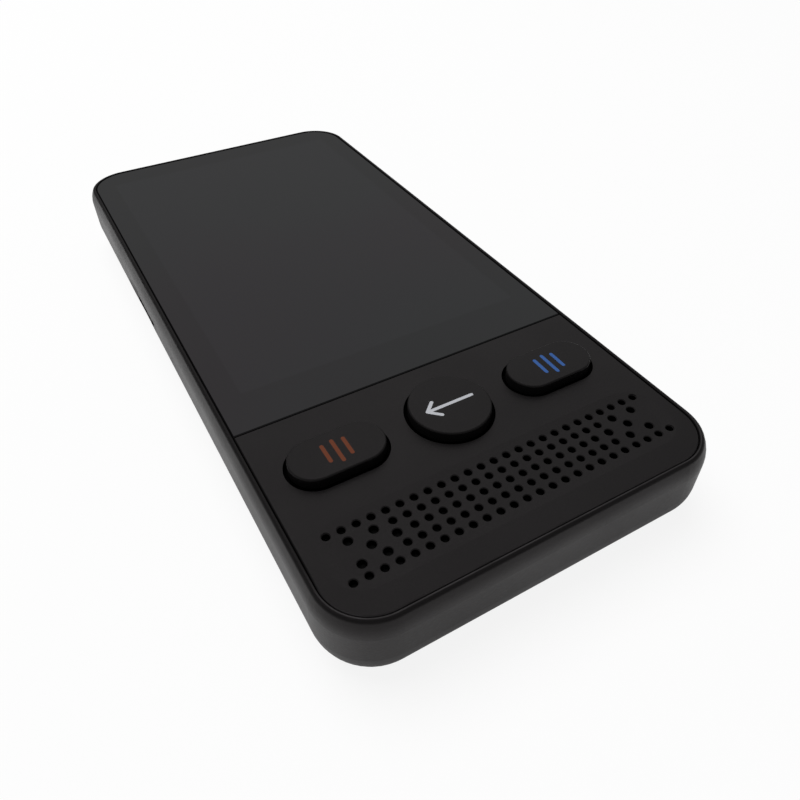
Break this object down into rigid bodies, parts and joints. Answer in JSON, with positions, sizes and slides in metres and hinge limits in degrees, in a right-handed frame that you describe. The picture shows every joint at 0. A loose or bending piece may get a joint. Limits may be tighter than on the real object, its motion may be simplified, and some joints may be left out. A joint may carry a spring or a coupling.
{
  "type": "handheld translator",
  "caption": "Slab-shaped pocket translator: dark rounded housing, flush touch screen, two pill keys and a round key, perforated speaker grille, side keys.",
  "frame": {"origin": "middle of the flat back, on the surface the device lies on", "axes": "+X across the face towards the key with blue bars, +Y along the body towards the screen end, +Z out of the face"},
  "size_m": [0.0572, 0.1216, 0.0139],
  "materials": {
    "soft_black_plastic": "fine moulded grain",
    "satin_black_plastic": "satin",
    "key_plastic": "satin, with raised coloured bars or an arrow on the face keys",
    "dark_glass": "polished, dark tint",
    "display_glass": "gloss",
    "frame_alloy": "die-cast, bead-blasted",
    "spring_steel": "bright",
    "screw_steel": "blackened",
    "port_steel": "drawn",
    "tin_plate": "tin plated",
    "board_laminate": "solder mask",
    "flex_film": "polyimide film",
    "chip_black": "moulded",
    "adhesive_foam": "foam",
    "grey_rubber": "matt silicone",
    "white_plastic": "satin",
    "mesh_fabric": "woven",
    "speaker_black": "moulded, with a coated cone",
    "foil_pouch": "laminated foil"
  },
  "bodies": {
    "housing": {"rear_housing": "soft_black_plastic", "mid_frame": "frame_alloy", "keypad_plate": "satin_black_plastic", "cover_glass": "dark_glass", "left_dome": "spring_steel", "back_dome": "spring_steel", "right_dome": "spring_steel", "key_board": "board_laminate", "key_board_flex": "flex_film", "glass_adhesive": "adhesive_foam", "plate_adhesive": "adhesive_foam", "display_cell": "display_glass", "backlight_unit": "white_plastic", "display_flex": "flex_film", "speaker_mesh": "mesh_fabric", "speaker_gasket": "adhesive_foam", "speaker_driver": "speaker_black", "speaker_box": "satin_black_plastic", "battery": "foil_pouch", "battery_tape": "adhesive_foam", "battery_lead": "flex_film", "main_board": "board_laminate", "board_chips": "chip_black", "shield_can": "tin_plate", "usb_c_port": "port_steel", "microphones": "tin_plate", "microphone_boots": "grey_rubber", "wireless_antenna": "flex_film", "power_switch": "tin_plate", "rocker_pin": "spring_steel", "volume_switches": "tin_plate", "chassis_screws": "screw_steel", "board_screws": "screw_steel"},
    "left_key": {"left_key": "key_plastic", "left_key_pad": "grey_rubber"},
    "back_key": {"back_key": "key_plastic", "back_key_pad": "grey_rubber"},
    "right_key": {"right_key": "key_plastic", "right_key_pad": "grey_rubber"},
    "power_key": {"power_key": "key_plastic", "power_plunger": "spring_steel"},
    "volume_rocker": {"volume_rocker": "key_plastic"}
  },
  "joints": [
    {"name": "left_key_press", "type": "slide", "parent": "housing", "child": "left_key", "axis": [0, 0, -1], "range_m": [0, 0.0004], "stiffness_N_per_m": 2000, "deforming": ["left_dome"]},
    {"name": "back_key_press", "type": "slide", "parent": "housing", "child": "back_key", "axis": [0, 0, -1], "range_m": [0, 0.0004], "stiffness_N_per_m": 2000, "deforming": ["back_dome"]},
    {"name": "right_key_press", "type": "slide", "parent": "housing", "child": "right_key", "axis": [0, 0, -1], "range_m": [0, 0.0004], "stiffness_N_per_m": 2000, "deforming": ["right_dome"]},
    {"name": "power_key_press", "type": "slide", "parent": "housing", "child": "power_key", "axis": [1, 0, 0], "range_m": [0, 0.00025], "stiffness_N_per_m": 3000},
    {"name": "volume_rocker_tilt", "type": "hinge", "parent": "housing", "child": "volume_rocker", "pos_m": [0.02615, 0.02145, 0.006], "axis": [0, 0, 1], "range_deg": [-1.2, 1.2], "stiffness_Nm_per_rad": 0.4}
  ]
}
